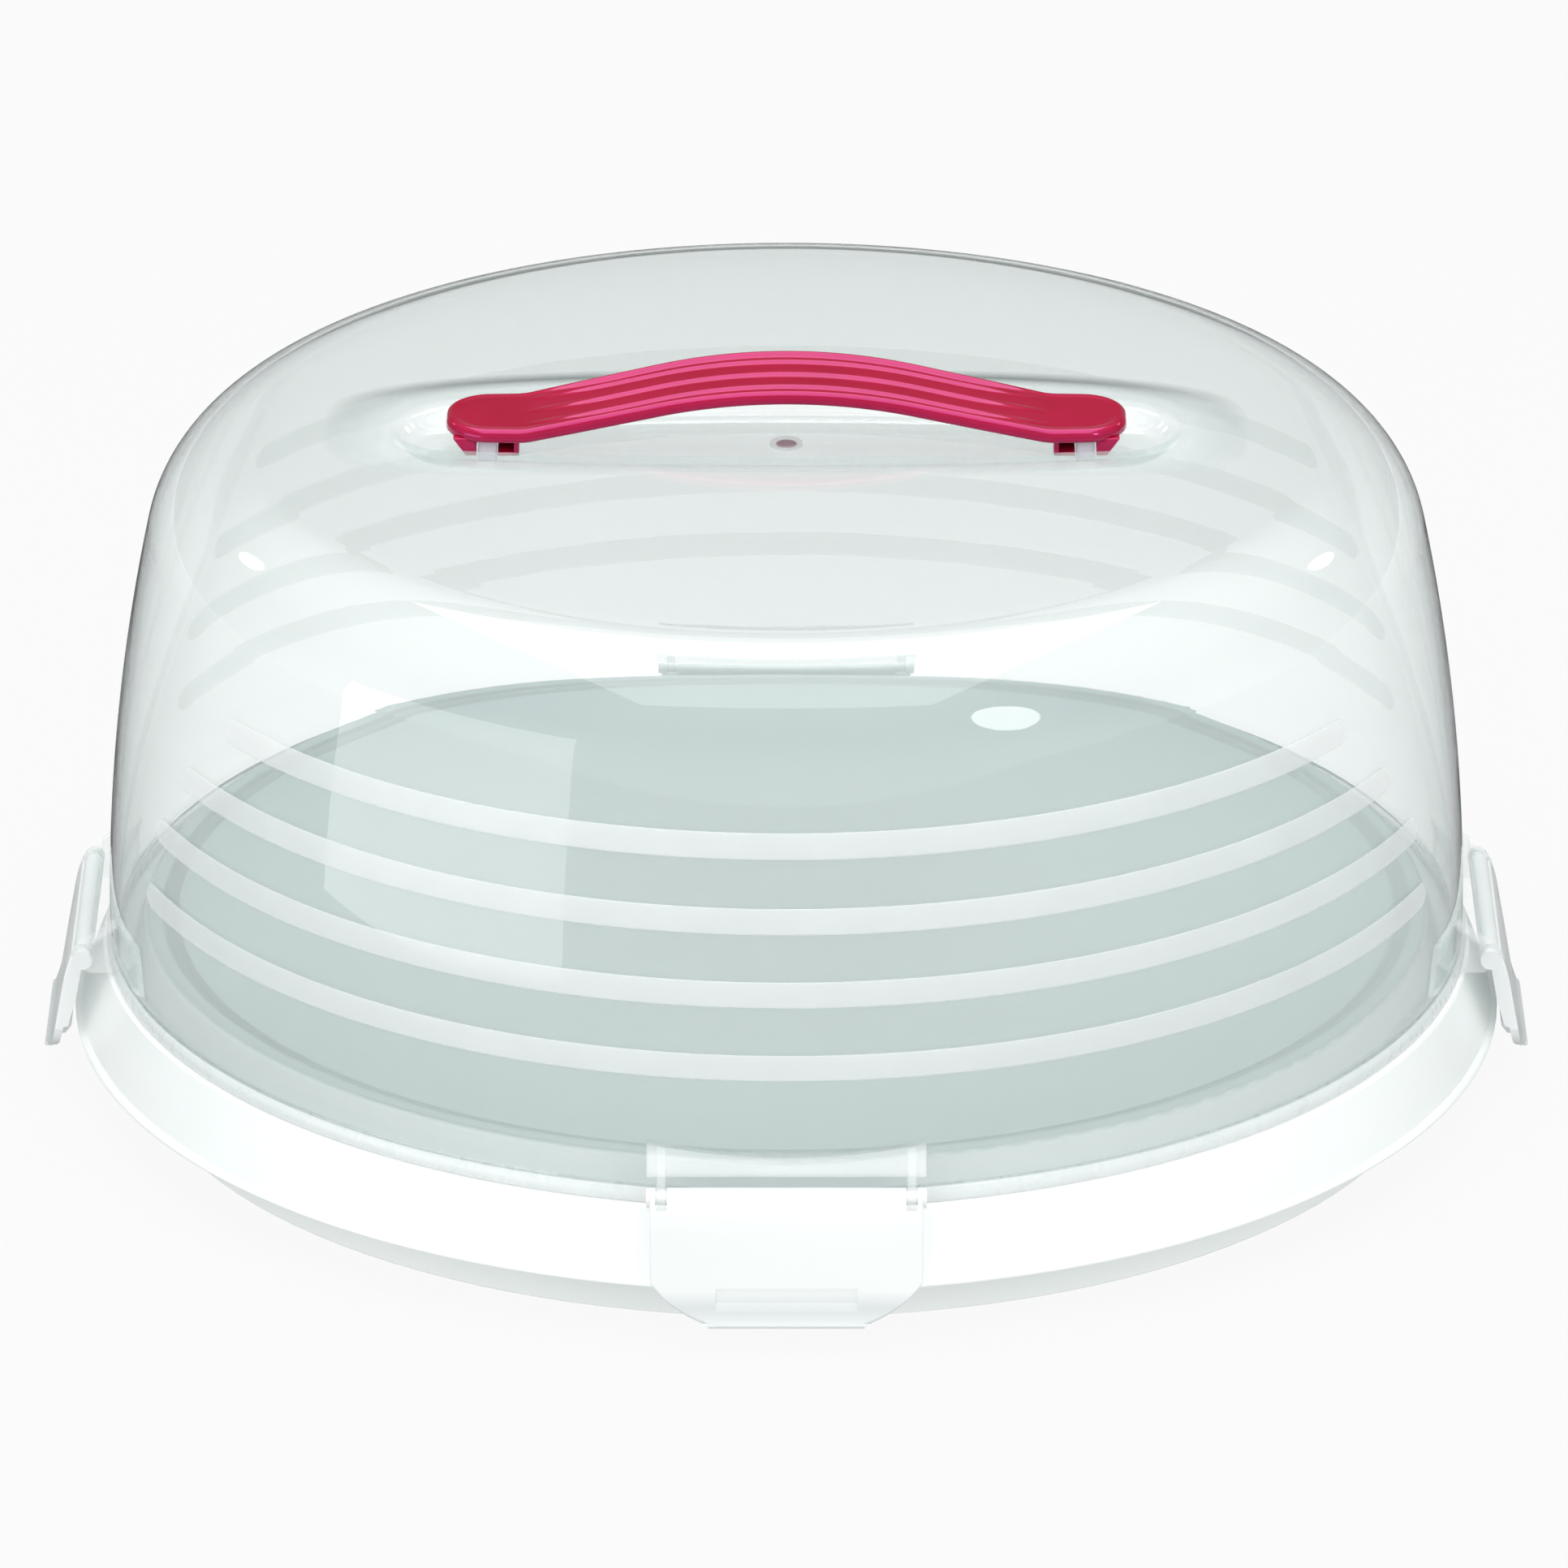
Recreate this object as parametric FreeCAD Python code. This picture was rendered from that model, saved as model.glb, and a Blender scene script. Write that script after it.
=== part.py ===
import FreeCAD, Part
import math
import os

# Round cake carrier: a white base with a raised serving plate, a clear domed lid,
# a strap handle snapped on the lid's top and four swinging side clips.
# Frame: +Z up, origin on the resting plane under the middle of the base.
# The strap handle runs along X, the front clip is at -Y. All sizes in millimetres.

V = FreeCAD.Vector

# ---------------------------------------------------------------- base
PLATE_TOP = 37.0          # serving surface
PLATE_BEAD_TOP = 38.0     # low bead round the serving surface
PLATE_R = 150.2           # outside of the serving plate
LEDGE_Z = 29.7            # ledge that the lid stands on
LEDGE_R = 158.9
SKIRT_R = 165.0           # lower end of the sloping skirt
SKIRT_Z = 14.6
RIM_R = 166.5             # rounded bead round the skirt's lower edge
RIM_ROUND = 0.7
RIM_UNDER_Z = 12.7        # underside of the bead, which the clips hook
DRUM_R = 152.5            # foot ring, outside
DRUM_R_IN = 149.5
FLOOR_UNDER_Z = 34.6
RIB_T = 2.0
RIB_Z = 28.8
RIB_COUNT = 12

# ---------------------------------------------------------------- lid
LID_Z = 30.0              # lower edge of the lid
LID_R = 158.0             # outside radius low on the wall
LID_BEAD_R = 158.9        # bead on the lid's lower edge
LID_T = 1.8               # wall thickness
WALL_Z0 = 34.0            # the wall's arc starts upright here
WALL_TOP_R = 147.5        # end of the wall's arc
WALL_TOP_Z = 131.8
SHOULDER_R = 28.0         # radius of the shoulder
CROWN_SLOPE = 3.0         # degrees, where the shoulder meets the crown

POCKET_Z = 151.0          # floor of the finger pocket under the handle
POCKET_HALF_W = 18.0
POCKET_END_W = 11.8
POCKET_SIDE_X = 76.0
POCKET_HALF_L = 86.5
POCKET_RIM_OFF = 5.0      # the pocket's walls lean out by this much at RIM_TOP
POCKET_RIM_TOP = 158.5
GATE_R = 3.7              # moulding mark in the middle of the pocket
GATE_DEPTH = 0.5

LUG_X = 68.7              # lug that holds each end of the handle
LUG_T = 4.2
LUG_HALF_Y = 10.0
LUG_TOP = 155.7
WINDOW_HALF_Y = 5.4
WINDOW_Z = (153.0, 154.6)

# ---------------------------------------------------------------- clips
HINGE_R = 163.2
HINGE_Z = 34.6
BARREL_R = 2.3
PIN_R = 1.6
PIN_BORE_R = 1.66
BARREL_HALF_W = 31.2
CLIP_HALF_W = 30.4
CLIP_LOW_HALF_W = 17.4
CLIP_STRAIGHT_Z = 16.8
CLIP_CORNER = (24.8, 11.0)   # half width and height on the rounded lower corner
CLIP_CORNER_END_Z = 7.6
CLIP_BOTTOM_Z = 7.0
EAR_IN = 26.9             # the lid's ears stand in notches of the clip's barrel
EAR_OUT = 28.9
EAR_TIP_R = 2.7
NOTCH_IN = 26.6
NOTCH_OUT = 29.2
NOTCH_R = 3.8
HOOK_TIP_R = 167.0
HOOK_TOP_Z = 12.5
HOOK_HALF_W = 16.0
CLIP_EDGE_R = 0.5         # softened edge round the outside face
PULL_HALF_W = 15.8        # shallow finger pull in the grip

# ---------------------------------------------------------------- handle
H_HALF_L = 78.3
H_MID_HALF_W = 14.2
H_END_HALF_W = 12.6
H_CORNER_R = 8.0
H_PAD_Z = 159.0
H_T = 3.2
H_ARCH_R = 140.0
H_ARCH_DEG = 12.5
H_BEND_R = 18.0
H_TOP_Z = 169.0
LEG_Z = 152.2


def edge_line(a, b):
    return Part.LineSegment(a, b).toShape()


def edge_arc(a, m, b):
    return Part.Arc(a, m, b).toShape()


def rz(r, z):
    return V(r, 0.0, z)


def path_face(start, steps):
    """Closed face in the XZ plane; each step is (r, z) or (mid, end) for an arc."""
    edges = []
    here = rz(*start)
    for s in steps:
        if isinstance(s[0], tuple):
            mid, end = rz(*s[0]), rz(*s[1])
            edges.append(edge_arc(here, mid, end))
        else:
            end = rz(*s)
            edges.append(edge_line(here, end))
        here = end
    if (here - rz(*start)).Length > 1e-6:
        edges.append(edge_line(here, rz(*start)))
    return Part.Face(Part.Wire(edges))


def corner_mid(c, r, a0, a1):
    a = math.radians((a0 + a1) / 2.0)
    return (c[0] + r * math.cos(a), c[1] + r * math.sin(a))


def polar(c, r, a):
    a = math.radians(a)
    return (c[0] + r * math.cos(a), c[1] + r * math.sin(a))


def revolve(face):
    return face.revolve(V(0, 0, 0), V(0, 0, 1), 360)


def prism_t(face, t0, t1):
    """Extrude an XZ-plane face along Y from t0 to t1."""
    f = face.copy()
    f.translate(V(0, t0, 0))
    return f.extrude(V(0, t1 - t0, 0))


def box(x0, x1, y0, y1, z0, z1):
    return Part.makeBox(x1 - x0, y1 - y0, z1 - z0, V(x0, y0, z0))


def clean(shape):
    s = shape.removeSplitter()
    if s.ShapeType == "Compound" and len(s.Solids) == 1:
        s = s.Solids[0]
    return s


def turned(shape, deg):
    s = shape.copy()
    s.rotate(V(0, 0, 0), V(0, 0, 1), deg)
    return s


# ================================================================ base tray
def make_base():
    profile = path_face(
        (0.0, PLATE_TOP),
        [
            (142.0, PLATE_TOP),
            ((143.3, PLATE_TOP + 0.27), (144.2, PLATE_TOP + 0.75)),
            ((145.0, PLATE_BEAD_TOP - 0.06), (146.0, PLATE_BEAD_TOP)),
            (PLATE_R - 1.4, PLATE_BEAD_TOP),
            (corner_mid((PLATE_R - 1.4, PLATE_BEAD_TOP - 1.4), 1.4, 0, 90),
             (PLATE_R, PLATE_BEAD_TOP - 1.4)),
            (151.5, 30.9),
            ((151.85, 30.05), (152.7, LEDGE_Z)),
            (LEDGE_R, LEDGE_Z),
            ((159.6, 29.42), (159.95, 28.8)),
            ((163.05, 20.75), (SKIRT_R, SKIRT_Z)),
            ((165.95, 14.2), (RIM_R, RIM_UNDER_Z + RIM_ROUND)),
            (corner_mid((RIM_R - RIM_ROUND, RIM_UNDER_Z + RIM_ROUND), RIM_ROUND, 0, -90),
             (RIM_R - RIM_ROUND, RIM_UNDER_Z)),
            (163.6, RIM_UNDER_Z),
            ((161.0, 20.4), (157.7, 27.3)),
            (DRUM_R, 27.3),
            (DRUM_R, 0.6),
            (DRUM_R - 0.6, 0.0),
            (DRUM_R_IN + 0.6, 0.0),
            (DRUM_R_IN, 0.6),
            (147.8, FLOOR_UNDER_Z - 1.0),
            (146.8, FLOOR_UNDER_Z),
            (0.0, FLOOR_UNDER_Z),
        ],
    )
    body = revolve(profile)
    ribs = []
    for i in range(RIB_COUNT):
        r = box(19.0, 148.4, -RIB_T / 2, RIB_T / 2, RIB_Z, FLOOR_UNDER_Z + 0.6)
        ribs.append(turned(r, i * 360.0 / RIB_COUNT + 15.0))
    for r0 in (19.0, 84.0):
        ring = Part.makeCylinder(r0 + RIB_T, FLOOR_UNDER_Z + 0.6 - RIB_Z, V(0, 0, RIB_Z)).cut(
            Part.makeCylinder(r0, FLOOR_UNDER_Z + 0.6 - RIB_Z, V(0, 0, RIB_Z)))
        ribs.append(ring)
    body = body.fuse(ribs)
    # webs between the foot ring and the skirt
    webs = []
    web = path_face((152.0, 27.6), [(158.6, 27.6), (162.1, 20.4), (163.6, 15.2), (152.0, 15.2)])
    for i in range(16):
        w = prism_t(web, -0.9, 0.9)
        webs.append(turned(w, i * 22.5 + 11.25))
    return clean(body.fuse(webs))


# ================================================================ lid
def wall_centre():
    h = WALL_TOP_Z - WALL_Z0
    d = LID_R - WALL_TOP_R
    big = (h * h + d * d) / (2.0 * d)
    ang = math.degrees(math.asin(h / big))
    return (LID_R - big, WALL_Z0), big, ang


def lid_profile(off):
    """Solid of revolution under the lid's skin, taken in by off from the outside."""
    c, big, ang = wall_centre()
    big -= off
    sc = (WALL_TOP_R - SHOULDER_R * math.cos(math.radians(ang)),
          WALL_TOP_Z - SHOULDER_R * math.sin(math.radians(ang)))
    sr = SHOULDER_R - off
    a_end = 90.0 - CROWN_SLOPE
    s_end = polar(sc, sr, a_end)
    crown_r = polar(sc, SHOULDER_R, a_end)[0] / math.sin(math.radians(CROWN_SLOPE)) - off
    crown_c = s_end[1] - crown_r * math.cos(math.radians(CROWN_SLOPE))
    top = crown_c + crown_r
    mid_a = math.radians(CROWN_SLOPE / 2.0)
    crown_mid = (crown_r * math.sin(mid_a), crown_c + crown_r * math.cos(mid_a))
    steps = []
    if off == 0.0:
        start = (0.0, LID_Z)
        steps += [
            (LID_BEAD_R - 0.5, LID_Z),
            (corner_mid((LID_BEAD_R - 0.5, LID_Z + 0.5), 0.5, -90, 0), (LID_BEAD_R, LID_Z + 0.5)),
            (LID_BEAD_R, LID_Z + 2.0),
            ((158.62, 32.75), (LID_R, WALL_Z0)),
        ]
    else:
        start = (0.0, LID_Z - 1.0)
        steps += [(LID_R - off, LID_Z - 1.0), (LID_R - off, WALL_Z0)]
    steps += [
        (polar(c, big, ang / 2.0), polar(c, big, ang)),
        (polar(sc, sr, (ang + a_end) / 2.0), s_end),
        (crown_mid, (0.0, top)),
    ]
    return revolve(path_face(start, steps))


def pocket_wire(off, z):
    w, e = POCKET_HALF_W + off, POCKET_END_W + off
    x, l = POCKET_SIDE_X, POCKET_HALF_L + off
    p = [V(-x, -e, z), V(x, -e, z), V(x, e, z), V(-x, e, z)]
    return Part.Wire([
        edge_arc(p[0], V(0, -w, z), p[1]),
        edge_arc(p[1], V(l, 0, z), p[2]),
        edge_arc(p[2], V(0, w, z), p[3]),
        edge_arc(p[3], V(-l, 0, z), p[0]),
    ])


def pocket(off, z0):
    slope = POCKET_RIM_OFF / (POCKET_RIM_TOP - POCKET_Z)
    return Part.makeLoft([pocket_wire(off, z0),
                          pocket_wire(off + slope * (POCKET_RIM_TOP - z0), POCKET_RIM_TOP)], True, True)


def ear_shape():
    """One hinge ear, in the XZ plane of a clip that faces +X."""
    c = (HINGE_R, HINGE_Z)
    low = polar(c, EAR_TIP_R, -60.0)
    high = polar(c, EAR_TIP_R, 48.0)
    outer = polar(c, EAR_TIP_R, -6.0)
    return path_face((152.0, 30.4), [
        (161.8, 30.4),
        low,
        (outer, high),
        (157.6, 42.1),
        (152.0, 46.1),
    ])


def roof_shape():
    """Sloping web over the ears, from the lid's wall to just above the clip's barrel."""
    return path_face((152.0, 46.1), [(157.6, 42.1), (161.2, 39.5), (160.5, 38.35), (152.0, 44.5)])


def make_lid():
    outer = lid_profile(0.0)
    inner = lid_profile(LID_T)
    shell = outer.cut(inner)
    well = pocket(LID_T, POCKET_Z - LID_T).common(outer)
    shell = shell.fuse(well).cut(pocket(0.0, POCKET_Z))
    for side in (-1, 1):
        x = side * LUG_X
        lug = box(x - LUG_T / 2, x + LUG_T / 2, -LUG_HALF_Y, LUG_HALF_Y, POCKET_Z - 0.9, LUG_TOP)
        win = box(x - LUG_T, x + LUG_T, -WINDOW_HALF_Y, WINDOW_HALF_Y, WINDOW_Z[0], WINDOW_Z[1])
        shell = shell.fuse(lug.cut(win))
    shell = shell.cut(Part.makeCylinder(GATE_R, GATE_DEPTH + 1.0, V(0, 0, POCKET_Z - GATE_DEPTH)))
    # one hinge bracket per clip: two ears with pin holes under a sloping web
    face = ear_shape()
    bracket = prism_t(roof_shape(), -BARREL_HALF_W, BARREL_HALF_W)
    bracket = bracket.fuse([prism_t(face, EAR_IN, EAR_OUT), prism_t(face, -EAR_OUT, -EAR_IN)])
    bracket = bracket.cut(Part.makeCylinder(PIN_BORE_R, 80.0, V(HINGE_R, -40.0, HINGE_Z), V(0, 1, 0)))
    bracket = bracket.cut(inner)
    return clean(shell.fuse([turned(bracket, deg) for deg in (0, 90, 180, 270)]))


# ================================================================ clip
def outside_r(z):
    """Radius of the clip's outside face at height z."""
    if z >= 11.6:
        return 167.9 + (28.4 - z) * 3.1 / 16.8
    return 177.69 - math.sqrt(max(6.81 ** 2 - (z - 12.836) ** 2, 0.0))


def make_clip():
    """Clip that faces +X: barrel and pins on the hinge axis, plate, side ribs and hook."""
    c = (HINGE_R, HINGE_Z)
    plate = path_face(polar(c, BARREL_R, 18.0), [
        (165.95, 35.0),
        ((167.05, 31.9), (167.9, 28.4)),
        (171.0, 11.6),
        ((171.67, 9.65), (172.9, 8.0)),
        ((173.1, 7.4), (172.5, CLIP_BOTTOM_Z)),
        (171.3, CLIP_BOTTOM_Z),
        (169.2, 11.2),
        (165.7, 28.4),
        ((165.1, 30.6), polar(c, 1.5, -30.0)),
    ])
    # front outline: straight sides, then rounded corners down to the narrower grip
    w, lw, zs, ze, zb = CLIP_HALF_W, CLIP_LOW_HALF_W, CLIP_STRAIGHT_Z, CLIP_CORNER_END_Z, CLIP_BOTTOM_Z - 2.0
    my, mz = CLIP_CORNER

    def yz(y, z):
        return V(150.0, y, z)

    outline = Part.Face(Part.Wire([
        edge_line(yz(-w, 40), yz(w, 40)),
        edge_line(yz(w, 40), yz(w, zs)),
        edge_arc(yz(w, zs), yz(my, mz), yz(lw, ze)),
        edge_line(yz(lw, ze), yz(lw, zb)),
        edge_line(yz(lw, zb), yz(-lw, zb)),
        edge_line(yz(-lw, zb), yz(-lw, ze)),
        edge_arc(yz(-lw, ze), yz(-my, mz), yz(-w, zs)),
        edge_line(yz(-w, zs), yz(-w, 40)),
    ])).extrude(V(40, 0, 0))
    body = prism_t(plate, -w, w).common(outline)
    rim = []
    for e in body.Edges:
        span = e.LastParameter - e.FirstParameter
        pts = [e.valueAt(e.FirstParameter + span * f) for f in (0.1, 0.5, 0.9)]
        if all(abs(p.y) > 15.0 and 8.0 < p.z < 28.3 and p.x > outside_r(p.z) - 0.08 for p in pts):
            if abs(pts[0].z - pts[2].z) > 0.5:
                rim.append(e)
    body = body.makeFillet(CLIP_EDGE_R, rim)
    barrel = Part.makeCylinder(BARREL_R, 2 * BARREL_HALF_W, V(HINGE_R, -BARREL_HALF_W, HINGE_Z), V(0, 1, 0))
    hook = prism_t(path_face((HOOK_TIP_R, HOOK_TOP_Z), [
        (HOOK_TIP_R, HOOK_TOP_Z - 1.1), (168.4, 9.6), (170.6, 9.6), (169.7, HOOK_TOP_Z)]),
        -HOOK_HALF_W, HOOK_HALF_W)
    rib = path_face((163.2, 33.6), [(165.2, 33.6), (166.6, 28.4), (168.4, 19.6), (168.9, 17.2), (166.9, 17.6), (165.0, 24.0)])
    ribs = [prism_t(rib, -CLIP_HALF_W, -NOTCH_OUT - 0.1), prism_t(rib, NOTCH_OUT + 0.1, CLIP_HALF_W),
            prism_t(rib, -10.8, -9.4), prism_t(rib, 9.4, 10.8)]
    body = body.fuse([barrel, hook] + ribs)
    # a notch for each ear, crossed by the hinge pin
    for s in (-1, 1):
        y0 = NOTCH_IN if s > 0 else -NOTCH_OUT
        body = body.cut(Part.makeCylinder(NOTCH_R, NOTCH_OUT - NOTCH_IN, V(HINGE_R, y0, HINGE_Z), V(0, 1, 0)))
    # shallow finger pull across the grip
    pull = path_face((169.6, 15.4), [(172.0, 16.2), (175.5, 8.0), (172.3, 8.9), (170.25, 12.2)])
    body = body.cut(prism_t(pull, -PULL_HALF_W, PULL_HALF_W))
    pins = []
    for s in (-1, 1):
        y = NOTCH_IN - 0.8 if s > 0 else -NOTCH_OUT - 0.8
        pins.append(Part.makeCylinder(PIN_R, NOTCH_OUT - NOTCH_IN + 1.6, V(HINGE_R, y, HINGE_Z), V(0, 1, 0)))
    return clean(body.fuse(pins))


# ================================================================ handle
def strap_points(off, x_max):
    """Half of the strap's side profile at a depth off under the top: list of steps from x = 0."""
    phi = math.radians(H_ARCH_DEG)
    rc = H_ARCH_R - off
    zc = H_TOP_Z - H_ARCH_R
    mid = (rc * math.sin(phi / 2), zc + rc * math.cos(phi / 2))
    end = (rc * math.sin(phi), zc + rc * math.cos(phi))
    # meeting point of the slope and the flat pad on the top side
    x_top = H_ARCH_R * math.sin(phi)
    z_top = zc + H_ARCH_R * math.cos(phi)
    xk = x_top + (z_top - H_PAD_Z) / math.tan(phi)
    tl = H_BEND_R * math.tan(phi / 2)
    bc = (xk + tl, H_PAD_Z + H_BEND_R)
    br = H_BEND_R + off
    a0, a1 = 270.0 - H_ARCH_DEG, 270.0
    b_start = polar(bc, br, a0)
    b_mid = polar(bc, br, (a0 + a1) / 2)
    b_end = polar(bc, br, a1)
    return (0.0, H_TOP_Z - off), [(mid, end), b_start, (b_mid, b_end), (x_max, H_PAD_Z - off)]


def mirror_x(p):
    return (-p[0], p[1])


def strap_face(off_a, off_b, x_max):
    """Band of the strap between two depths, both halves, in the XZ plane."""
    top0, top = strap_points(off_a, x_max)
    bot0, bot = strap_points(off_b, x_max)

    def flatten(start, steps):
        segs = []
        here = start
        for s in steps:
            if isinstance(s[0], tuple):
                segs.append((here, s[0], s[1]))
                here = s[1]
            else:
                segs.append((here, None, s))
                here = s
        return segs

    edges = []

    def add(a, m, b):
        if m is None:
            edges.append(edge_line(rz(*a), rz(*b)))
        else:
            edges.append(edge_arc(rz(*a), rz(*m), rz(*b)))

    right_top = flatten(top0, top)
    right_bot = flatten(bot0, bot)
    for a, m, b in right_top:
        add(a, m, b)
    add(right_top[-1][2], None, right_bot[-1][2])
    for a, m, b in reversed(right_bot):
        add(b, m, a)
    for a, m, b in right_bot:
        add(mirror_x(a), mirror_x(m) if m else None, mirror_x(b))
    add(mirror_x(right_bot[-1][2]), None, mirror_x(right_top[-1][2]))
    for a, m, b in reversed(right_top):
        add(mirror_x(b), mirror_x(m) if m else None, mirror_x(a))
    return Part.Face(Part.Wire(edges))


def plan_prism(half_l, mid_w, end_w, corner, z0, z1):
    x1 = half_l - corner
    k = math.sin(math.radians(45.0))

    def v(x, y):
        return V(x, y, z0)

    cy = end_w - corner
    edges = [
        edge_arc(v(-x1, -end_w), v(0, -mid_w), v(x1, -end_w)),
        edge_arc(v(x1, -end_w), v(x1 + corner * k, -cy - corner * k), v(half_l, -cy)),
        edge_line(v(half_l, -cy), v(half_l, cy)),
        edge_arc(v(half_l, cy), v(x1 + corner * k, cy + corner * k), v(x1, end_w)),
        edge_arc(v(x1, end_w), v(0, mid_w), v(-x1, end_w)),
        edge_arc(v(-x1, end_w), v(-x1 - corner * k, cy + corner * k), v(-half_l, cy)),
        edge_line(v(-half_l, cy), v(-half_l, -cy)),
        edge_arc(v(-half_l, -cy), v(-x1 - corner * k, -cy - corner * k), v(-x1, -end_w)),
    ]
    return Part.Face(Part.Wire(edges)).extrude(V(0, 0, z1 - z0))


def make_handle():
    strap = prism_t(strap_face(0.0, H_T, H_HALF_L + 2.0), -20.0, 20.0)
    strap = strap.common(plan_prism(H_HALF_L, H_MID_HALF_W, H_END_HALF_W, H_CORNER_R, 140.0, 180.0))
    # rounded upper edge
    try:
        top_edges = []
        for e in strap.Edges:
            bb = e.BoundBox
            mids = [e.valueAt(e.FirstParameter + (e.LastParameter - e.FirstParameter) * k) for k in (0.2, 0.5, 0.8)]
            on_rim = all(abs(abs(m.y) - rim_y(m.x)) < 0.05 or abs(m.x) > H_HALF_L - H_CORNER_R - 0.01 for m in mids)
            on_top = all(abs(m.z - top_z(m.x)) < 0.02 for m in mids)
            if on_rim and on_top and bb.YLength + bb.XLength > 1.0 and not (abs(bb.XLength) < 1e-3 and bb.YLength > 20):
                top_edges.append(e)
        strap = strap.makeFillet(1.1, top_edges)
    except Exception as ex:
        print("handle edge left sharp:", ex)
    # two grip flutes along the middle of the strap
    for y0, y1 in ((-6.6, -1.6), (1.6, 6.6)):
        band = prism_t(strap_face(-3.0, 0.7, 56.0), y0, y1)
        strap = strap.cut(band.common(box(-52.0, 52.0, y0, y1, 150.0, 180.0)))
    body = strap
    under = H_PAD_Z - H_T
    for s in (-1, 1):
        def bx(x0, x1, y0, y1, z0, z1):
            a, b = sorted((s * x0, s * x1))
            return box(a, b, y0, y1, z0, z1)

        # outer leg with a leaning outside face
        leg = path_face((71.2, under + 0.4), [(76.6, under + 0.4), (73.6, LEG_Z), (71.2, LEG_Z)])
        leg = prism_t(leg, -11.0, 11.0)
        if s < 0:
            leg = leg.mirror(V(0, 0, 0), V(1, 0, 0))
        # inner leg: a hollow foot, open to the front and back, with a tongue through the lug
        web = bx(61.4, 62.6, -11.0, 11.0, LEG_Z, under + 0.4)
        foot = bx(61.4, 66.3, -11.0, 11.0, LEG_Z, LEG_Z + 0.9)
        wall = bx(62.0, 66.3, -1.0, 1.0, LEG_Z, under + 0.4)
        tongue = bx(66.0, 71.4, -5.0, 5.0, 153.3, 154.3)
        riser = bx(65.3, 66.3, -5.0, 5.0, LEG_Z, 154.3)
        body = body.fuse([leg, web, foot, wall, tongue, riser])
    return clean(body)


def top_z(x):
    x = abs(x)
    phi = math.radians(H_ARCH_DEG)
    zc = H_TOP_Z - H_ARCH_R
    xa = H_ARCH_R * math.sin(phi)
    if x <= xa:
        return zc + math.sqrt(H_ARCH_R ** 2 - x * x)
    z_top = zc + H_ARCH_R * math.cos(phi)
    xk = xa + (z_top - H_PAD_Z) / math.tan(phi)
    tl = H_BEND_R * math.tan(phi / 2)
    if x >= xk + tl:
        return H_PAD_Z
    x_b = xk - tl * math.cos(phi)
    if x <= x_b:
        return z_top - (x - xa) * math.tan(phi)
    return H_PAD_Z + H_BEND_R - math.sqrt(H_BEND_R ** 2 - (xk + tl - x) ** 2)


def rim_y(x):
    x1 = H_HALF_L - H_CORNER_R
    d = H_MID_HALF_W - H_END_HALF_W
    big = (x1 * x1 + d * d) / (2.0 * d)
    if abs(x) <= x1:
        return H_MID_HALF_W - big + math.sqrt(big * big - x * x)
    u = abs(x) - x1
    return H_END_HALF_W - H_CORNER_R + math.sqrt(max(H_CORNER_R ** 2 - u * u, 0.0))


def main():
    os.makedirs("parts", exist_ok=True)
    clip = make_clip()
    parts = {
        "base_tray": make_base(),
        "dome_lid": make_lid(),
        "carry_handle": make_handle(),
        "right_clip": clip,
        "rear_clip": turned(clip, 90),
        "left_clip": turned(clip, 180),
        "front_clip": turned(clip, 270),
    }
    for name, shape in parts.items():
        print(name, shape.ShapeType, "solids", len(shape.Solids), "valid", shape.isValid(),
              "volume cm3 %.2f" % (shape.Volume / 1000.0))
        shape.exportStep("parts/%s.step" % name)
    return parts


if __name__ == "__main__":
    main()
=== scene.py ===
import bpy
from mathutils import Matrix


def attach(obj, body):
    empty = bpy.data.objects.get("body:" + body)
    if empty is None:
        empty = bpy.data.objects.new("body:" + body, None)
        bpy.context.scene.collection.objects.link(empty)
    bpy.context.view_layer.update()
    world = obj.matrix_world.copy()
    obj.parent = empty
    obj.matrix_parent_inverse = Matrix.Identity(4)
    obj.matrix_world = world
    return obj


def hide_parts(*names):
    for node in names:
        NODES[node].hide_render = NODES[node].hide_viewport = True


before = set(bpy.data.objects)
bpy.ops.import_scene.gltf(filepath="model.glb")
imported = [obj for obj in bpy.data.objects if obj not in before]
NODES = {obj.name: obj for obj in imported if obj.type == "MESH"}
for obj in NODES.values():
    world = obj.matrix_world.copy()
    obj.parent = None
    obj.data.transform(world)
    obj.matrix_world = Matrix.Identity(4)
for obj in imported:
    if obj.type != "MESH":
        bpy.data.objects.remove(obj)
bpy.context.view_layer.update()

import math

import bmesh
import bpy
from mathutils import Vector

MM = 0.001
SCENE = bpy.context.scene


# ------------------------------------------------------------------ small helpers
def new_object(name, verts, faces, smooth=True):
    me = bpy.data.meshes.new(name)
    me.from_pydata([(x * MM, y * MM, z * MM) for x, y, z in verts], [], faces)
    me.validate()
    me.update()
    if smooth:
        for p in me.polygons:
            p.use_smooth = True
    ob = bpy.data.objects.new(name, me)
    SCENE.collection.objects.link(ob)
    return ob


def fix_normals(ob):
    bm = bmesh.new()
    bm.from_mesh(ob.data)
    bmesh.ops.recalc_face_normals(bm, faces=bm.faces)
    bm.to_mesh(ob.data)
    bm.free()


def apply_modifiers(ob):
    dg = bpy.context.evaluated_depsgraph_get()
    me = bpy.data.meshes.new_from_object(ob.evaluated_get(dg))
    ob.modifiers.clear()
    old = ob.data
    ob.data = me
    bpy.data.meshes.remove(old)


def smooth_min(a, b, k):
    h = max(k - abs(a - b), 0.0) / k
    return min(a, b) - h * h * k * 0.25


def smooth_max(a, b, k):
    return -smooth_min(-a, -b, k)


def smooth_step(a, b, x):
    t = min(1.0, max(0.0, (x - a) / (b - a)))
    return t * t * (3 - 2 * t)


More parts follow.
